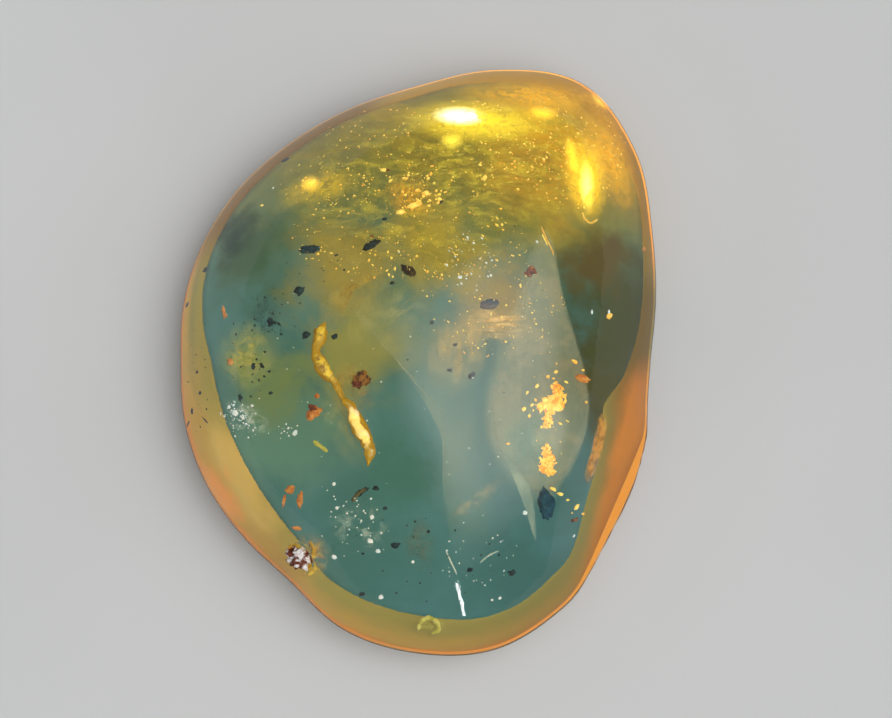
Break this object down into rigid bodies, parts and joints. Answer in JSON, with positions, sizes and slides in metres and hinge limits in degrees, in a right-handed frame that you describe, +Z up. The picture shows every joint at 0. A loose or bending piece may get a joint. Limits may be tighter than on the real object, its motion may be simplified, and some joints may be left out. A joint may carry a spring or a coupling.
{
  "type": "polished amber",
  "caption": "Hand-polished see-through amber pebble with plant matter, grains and gold flakes sealed inside, for display or for study of inclusions.",
  "frame": {"origin": "under the middle of the piece, at the height of the ground flat that it rests on", "axes": "+Z up from the ground flat to the dome, +Y the long way towards the pointed end, +X towards the side with the steep polished flat"},
  "size_m": [0.0222, 0.0276, 0.0092],
  "materials": {
    "amber": "polished",
    "bark": "satin",
    "crumb": "matt",
    "seed": "satin",
    "gold": "glossy",
    "splinter": "satin",
    "leaf": "matt",
    "grain": "matt",
    "crust": "rough"
  },
  "bodies": {
    "root": {"amber_upper": "amber", "amber_lower": "amber", "bark_strip": "bark", "bark_crumb": "crumb", "seed": "seed", "flake_upper": "gold", "flake_lower": "gold", "wood_splinter": "splinter", "leaf_scrap": "leaf", "grain_north": "grain", "grain_west": "grain", "grain_middle": "grain", "pit_crust": "crust"}
  },
  "joints": []
}
